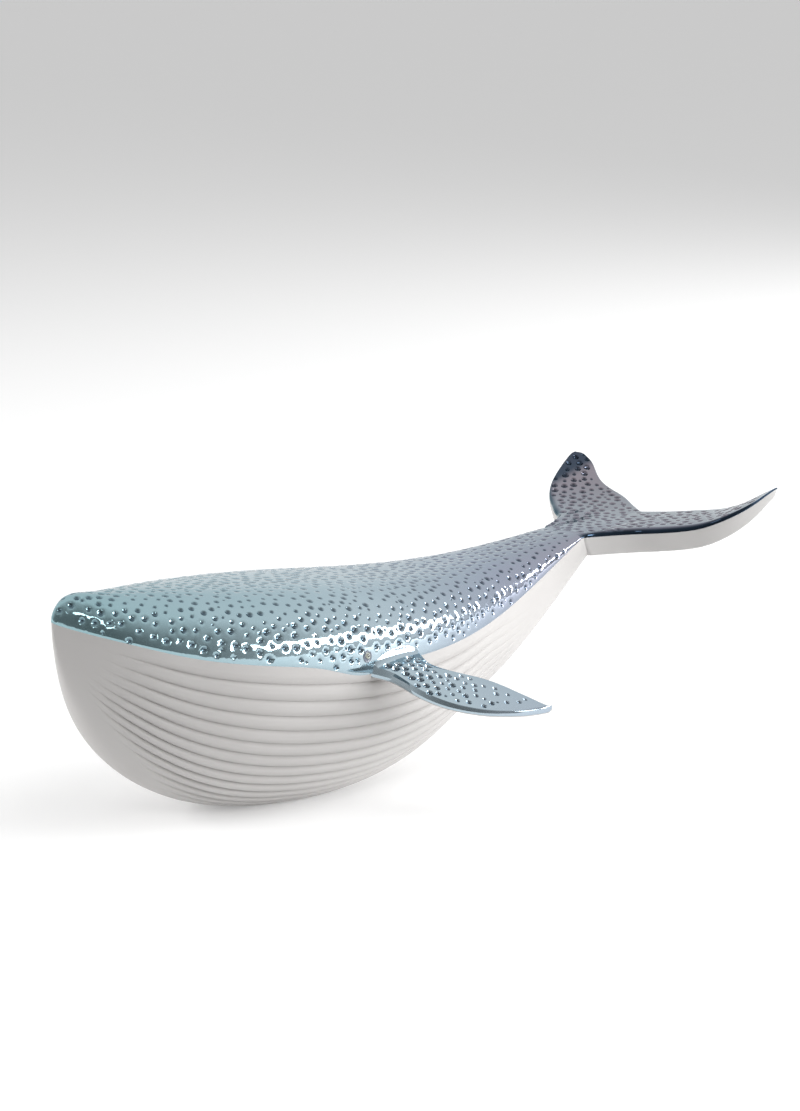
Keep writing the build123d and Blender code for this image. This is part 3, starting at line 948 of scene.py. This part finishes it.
# The flippers are a pair of thin leaf-shaped castings, one mirrored from the other, glazed and
# dimpled on top, bare underneath, and luted to the sides of the body below the eyes.
flipper_reach = 0.076
flipper_from_nose = 0.172
flipper_sweep = 0.077
flipper_inset = 0.0025
flipper_droop = 0.024
flipper_droop_bend = 1.3
flipper_thickness = 0.007
flipper_front_edge = 0.0072
flipper_back_edge = 0.0026
flipper_flare = 0.0060
flipper_flare_reach = 0.005
flipper_root = 0.010
flipper_front_shares = [0.02, 0.095, 0.112, 0.155, 0.235, 0.345, 0.475, 0.62, 0.755, 0.89, 0.975]
flipper_back_shares = [0.56, 0.49, 0.57, 0.71, 0.80, 0.85, 0.893, 0.925, 0.950, 0.972, 0.975]
flipper_pitch_share = 0.10
flipper_flat_share = 0.35
flipper_taper_share = 0.55
flipper_crest_share = 0.25
flipper_root_rows = 40
flipper_rows = 165
flipper_columns = 120
flipper_pit_margin = 0.0021
flipper_pit_spacing = 0.0050
flipper_fine_pit_spacing = 0.0070
flipper_pit_depth_share = 1.1
flipper_root_pit_size = 1.2
flipper_pit_size_loss = 0.4
flipper_crease_degrees = 50
flipper_roll_share = 0.15
flipper_tip_shares = (0.93, 0.07)
flipper_front_points = 14
flipper_under_points = 40
flipper_back_points = 8
flipper_front = smooth_line(flipper_front_shares)
flipper_back = smooth_line(flipper_back_shares)
flipper_sizes = body_sizes(math.sqrt(flipper_from_nose / body_length))
flipper_spread = flipper_sizes[0].item() - flipper_inset
flipper_height = flipper_sizes[1].item()


def flipper_loop(station, inward):
    """One section of the left flipper, once round: top, front edge, underside, back edge."""
    out = 1 - (1 - station) ** 2
    y = inward - flipper_spread - flipper_reach * out
    start = flipper_from_nose - foot_from_nose
    front = start + flipper_sweep * flipper_front(station).item()
    back = max(start + flipper_sweep * flipper_back(station).item(), front)
    high = flipper_height - flipper_droop * out**flipper_droop_bend
    pitch = flipper_pitch_share * (flipper_flat_share + (1 - flipper_flat_share) * out)
    low = high - pitch * (back - front)
    full = flipper_thickness * (1 - flipper_taper_share * out)
    thin = math.sqrt(1 - np.clip((station - flipper_tip_shares[0]) / flipper_tip_shares[1], 0, 1) ** 2)
    front_edge = flipper_front_edge * (1 - flipper_taper_share * out) * thin
    back_edge = flipper_back_edge * thin
    middle = (front + back) / 2
    crest = (high + low) / 2 + full * flipper_crest_share
    front_roll = min(front_edge * flipper_roll_share, (back - front) / 4)
    back_roll = min(back_edge / 2, (back - front) / 4)
    under = low - front_edge
    top_back = (back - back_roll, high)
    top_front = (front + front_roll, low)
    under_front = (front + front_roll, under)
    under_back = (back - back_roll, high - back_edge)
    parts = [
        arc_line(top_back, (middle, crest), top_front, flipper_columns),
        arc_line(top_front, (front, low - 0.66 * front_edge), under_front, flipper_front_points)[1:],
        arc_line(under_front, (middle, crest - full), under_back, flipper_under_points)[1:],
        arc_line(under_back, (back, high - back_edge / 2), top_back, flipper_back_points)[1:-1],
    ]
    body_half = body_sizes(np.sqrt((parts[0][:, 0] + foot_from_nose) / body_length))[0]
    off_body = -y - body_half
    near = 1 - np.clip(off_body / flipper_flare_reach, 0, 1)
    inside_edges = np.sin(np.linspace(0, math.pi, flipper_columns)) ** 0.35
    parts[0][:, 1] += flipper_flare * near**4 * inside_edges
    places = [(x, y, z) for x, z in np.concatenate(parts)]
    top_sides = np.full(flipper_columns, 0.01)
    front_sides = np.linspace(0.012, -0.005, flipper_front_points - 1)
    under_sides = np.full(flipper_under_points - 1, -0.01)
    back_sides = np.linspace(-0.008, 0.008, flipper_back_points - 2)
    sides = np.concatenate([top_sides, front_sides, under_sides, back_sides])
    top = np.concatenate([parts[0][:, 0], np.full(len(places) - flipper_columns, front)])
    room = np.minimum(np.minimum(top - front, back - top), (1 - station) * flipper_reach)
    room[:flipper_columns] = np.minimum(room[:flipper_columns], off_body - flipper_flare_reach / 2)
    return places, sides, room


def flipper_mesh():
    hidden = np.linspace(flipper_root, 0.00025, flipper_root_rows)
    outs = np.concatenate([np.linspace(0, 0.08, 24), np.linspace(0.085, 0.985, flipper_rows)])
    shown = np.concatenate([1 - np.sqrt(1 - outs), np.linspace(0.885, 0.997, 24)])
    loops = [flipper_loop(0, inward) for inward in hidden]
    loops += [flipper_loop(station, 0) for station in shown]
    vertices, faces = loops_mesh([loop[0] for loop in loops])
    sides = np.concatenate([loop[1] for loop in loops])
    rooms = np.concatenate([loop[2] for loop in loops])
    return vertices, faces, sides, rooms


flipper_vertices, flipper_faces, flipper_sides, flipper_rooms = flipper_mesh()
for flipper_name, flipper_side in (("left_flipper", 1), ("right_flipper", -1)):
    flipper_places = np.array(flipper_vertices) * (1, flipper_side, 1)
    turned_faces = [face[::flipper_side] for face in flipper_faces]
    flipper_room = (flipper_rooms > flipper_pit_margin).astype(float)
    flipper_out = (np.abs(flipper_places[:, 1]) - flipper_spread) / flipper_reach
    flipper_pit_sizes = flipper_root_pit_size - flipper_pit_size_loss * smooth_step(0, 1, flipper_out)
    flipper_values = {
        **pit_values,
        "Spacing": flipper_pit_spacing,
        "Fine Spacing": flipper_fine_pit_spacing,
        "Depth Share": flipper_pit_depth_share,
        "Seed": pit_seed + 3 + flipper_side,
    }
    flipper_pits = find_pits(flipper_places, turned_faces, flipper_room, flipper_pit_sizes, flipper_values)
    flipper = glazed_piece(flipper_name, flipper_places, turned_faces, flipper_pits, 0, flipper_sides, 0)
    shape_by_tree(flipper, press_pits, flipper_values, flipper_crease_degrees)
    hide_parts(flipper_name)
    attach(flipper, "root")

# The eyes are small glazed beads set into the back just above the glaze line: a slate raised ring
# round a grey iris, with the pupil painted near its top.
eye_radius = 0.0032
eye_bulge = 0.0016
eye_turns = 48
eye_tall_share = 1.15
eye_profile_shares = [(1, -0.6), (1, 0.1), (0.96, 0.42), (0.86, 0.6), (0.74, 0.52), (0.66, 0.36), (0.58, 0.5)]
eye_profile_shares += [(0.46, 0.72), (0.32, 0.9), (0.16, 0.98)]
pupil_offset_share = 0.26
pupil_black = (0.012, 0.014, 0.018, 1)
iris_grey = (0.40, 0.42, 0.36, 1)
ring_slate = (0.16, 0.18, 0.23, 1)
eye_stop_shares = [(0.32, pupil_black), (0.38, iris_grey), (0.66, iris_grey), (0.70, pupil_black)]
eye_stop_shares += [(0.76, ring_slate)]
eye_grain_size = 0.0005
eye_tone_size = 0.002


def eye_mesh(side):
    """A lathe-turned bead facing outwards, with each point's distance from the pupil."""
    centre = eye_place(side)
    vertices = []
    away = []
    for radius_share, rise_share in eye_profile_shares:
        for turn in range(eye_turns):
            angle = turn * 2 * math.pi / eye_turns
            across = radius_share * math.cos(angle)
            up = eye_tall_share * radius_share * math.sin(angle)
            out = side * eye_bulge * rise_share
            vertices.append((centre.x + across * eye_radius, centre.y + out, centre.z + up * eye_radius))
            from_pupil = math.hypot(across, up - pupil_offset_share)
            away.append(max(from_pupil, radius_share) if radius_share > 0.64 else from_pupil)
    vertices.append((centre.x, centre.y + side * eye_bulge, centre.z))
    away.append(pupil_offset_share)
    faces = []
    rings = len(eye_profile_shares)
    for ring in range(rings - 1):
        for turn in range(eye_turns):
            after = (turn + 1) % eye_turns
            first = ring * eye_turns
            faces.append((first + turn, first + eye_turns + turn, first + eye_turns + after, first + after))
    last = (rings - 1) * eye_turns
    faces += [(last + turn, len(vertices) - 1, last + (turn + 1) % eye_turns) for turn in range(eye_turns)]
    faces.append(tuple(range(eye_turns)))
    return vertices, [face[::side] for face in faces], away


def eye_material():
    material, tree, surface = new_material("eye")
    grain = add_grain(tree, eye_grain_size, eye_tone_size)
    wavy = add_math(tree, "MULTIPLY_ADD", grain.outputs["Tone"], 0.12, point_mark(tree, "pupil_away"))
    ramp = add_node(tree, "ShaderNodeValToRGB", None, Fac=wavy)
    set_stops(ramp, eye_stop_shares)
    tree.links.new(ramp.outputs[0], surface.inputs["Base Color"])
    rough = add_math(tree, "MULTIPLY_ADD", grain.outputs["Tone"], 0.08, 0.08)
    tree.links.new(rough, surface.inputs["Roughness"])
    surface.inputs["Coat Weight"].default_value = 0.8
    surface.inputs["Coat Roughness"].default_value = 0.03
    return material


eye_glaze = eye_material()
for eye_name, eye_side in (("left_eye", -1), ("right_eye", 1)):
    eye_vertices, eye_faces, eye_away = eye_mesh(eye_side)
    eye = new_piece(eye_name, eye_vertices, eye_faces, {"pupil_away": eye_away})
    eye.data.materials.append(eye_glaze)
    eye.data.shade_smooth()
    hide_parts(eye_name)
    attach(eye, "root")

# Floor, lights and surroundings: a white sweep under a white sky, dark towards the camera, with a
# strip light in front on the right that draws the long highlight along the shoulder. The floor's
# front part is seen by the camera only, so the glaze there mirrors the dark room.
floor_white = (0.82, 0.82, 0.82, 1)
floor_glow = 0.21
floor_half = 12.0
floor_front = 0.64
sky_white = (1.0, 1.0, 1.0, 1)
room_dark = (0.2, 0.2, 0.2, 1)
room_fill = 0.45
camera_side = Vector((-0.669, -0.743, 0))
camera_right = Vector((0.743, -0.669, 0))


def stage_plane(name, corners, material):
    mesh = bpy.data.meshes.new(name)
    mesh.from_pydata(corners, [], [(0, 1, 2, 3)])
    plane = bpy.data.objects.new(name, mesh)
    plane.data.materials.append(material)
    bpy.context.scene.collection.objects.link(plane)
    return plane


floor_material, floor_tree, floor_surface = new_material("floor")
floor_surface.inputs["Base Color"].default_value = floor_white
floor_surface.inputs["Roughness"].default_value = 0.9
floor_surface.inputs["Emission Color"].default_value = (1, 1, 1, 1)
floor_surface.inputs["Emission Strength"].default_value = floor_glow
floor_edges = []
for depth in (floor_half, floor_front, -floor_half):
    floor_edges.append([camera_side * depth + camera_right * side for side in (-floor_half, floor_half)])
far_edge, front_edge, back_edge = floor_edges
stage_plane("floor", [*front_edge, *back_edge[::-1]], floor_material)
front_floor = stage_plane("front_floor", [*far_edge, *front_edge[::-1]], floor_material)
front_floor.visible_glossy = False
front_floor.visible_diffuse = False


def studio_world():
    """White behind, and darker and darker towards the camera."""
    world = bpy.data.worlds.new("studio")
    world.use_nodes = True
    tree = world.node_tree
    toward = add_node(tree, "ShaderNodeTexCoord").outputs["Generated"]
    facing = add_node(tree, "ShaderNodeVectorMath", {"operation": "DOT_PRODUCT"}, i0=toward, i1=camera_side)
    near = add_node(tree, "ShaderNodeMapRange", None, Value=facing.outputs["Value"], i1=-0.15, i2=1.0)
    colour = mix_colours(tree, near.outputs[0], sky_white, room_dark)
    background = tree.nodes["Background"]
    tree.links.new(colour, background.inputs["Color"])
    scattered = tree.nodes.new("ShaderNodeLightPath").outputs["Is Diffuse Ray"]
    strength = add_math(tree, "MULTIPLY_ADD", scattered, room_fill - 1, 1.0)
    tree.links.new(strength, background.inputs["Strength"])
    return world


def softbox(name, place, aim, width, height, watts, mirrored):
    """A soft light, which shows in the glaze only if it is mirrored."""
    light = bpy.data.lights.new(name, "AREA")
    light.shape = "RECTANGLE"
    light.size = width
    light.size_y = height
    light.energy = watts
    lamp = bpy.data.objects.new(name, light)
    lamp.visible_glossy = mirrored
    lamp.location = place
    lamp.rotation_euler = (Vector(aim) - Vector(place)).to_track_quat("-Z", "Y").to_euler()
    bpy.context.scene.collection.objects.link(lamp)


softbox("window", (2.1, -0.25, 0.75), (0.1, 0.0, 0.08), width=1.9, height=1.5, watts=38, mirrored=False)
softbox("left_side", (-1.5, 1.3, 0.8), (-0.1, 0.0, 0.08), width=1.2, height=1.2, watts=34, mirrored=False)
softbox("overhead", (0.3, -0.9, 1.8), (0.0, 0.0, 0.06), width=1.2, height=1.2, watts=8, mirrored=False)
softbox("strip", (1.35, -1.75, 0.66), (0.0, 0.0, 0.08), width=2.8, height=0.44, watts=48, mirrored=True)
softbox(
    "camera_left", (-1.34, -1.49, 1.25), (-0.1, 0.0, 0.1), width=0.5, height=0.4, watts=2.5, mirrored=True
)
bpy.context.scene.world = studio_world()
bpy.context.scene.view_settings.view_transform = "Standard"

# The camera stands where the photograph was taken from, at its distance and lens.
frame_width = 800
frame_height = 1111
view_azimuth = math.radians(-42)
view_elevation = math.radians(13.22)
view_distance = 2.5
focal_pixels = 4240
aim_place = Vector((0.030, 0, 0.060))
aim_pixel = (319.7, 683.3)
sensor = 36.0

backward = Vector(
    (
        math.sin(view_azimuth) * math.cos(view_elevation),
        -math.cos(view_azimuth) * math.cos(view_elevation),
        math.sin(view_elevation),
    )
)
rightward = Vector((math.cos(view_azimuth), math.sin(view_azimuth), 0))
upward = backward.cross(rightward)
sight = rightward * ((frame_width / 2 - aim_pixel[0]) / focal_pixels)
sight += upward * ((aim_pixel[1] - frame_height / 2) / focal_pixels)
sight -= backward
lens = bpy.data.cameras.new("photo_camera")
lens.sensor_width = sensor
lens.lens = focal_pixels / frame_height * sensor
camera = bpy.data.objects.new("photo_camera", lens)
camera.location = aim_place + backward * view_distance
camera.rotation_euler = sight.to_track_quat("-Z", "Y").to_euler()
bpy.context.scene.collection.objects.link(camera)
bpy.context.scene.camera = camera
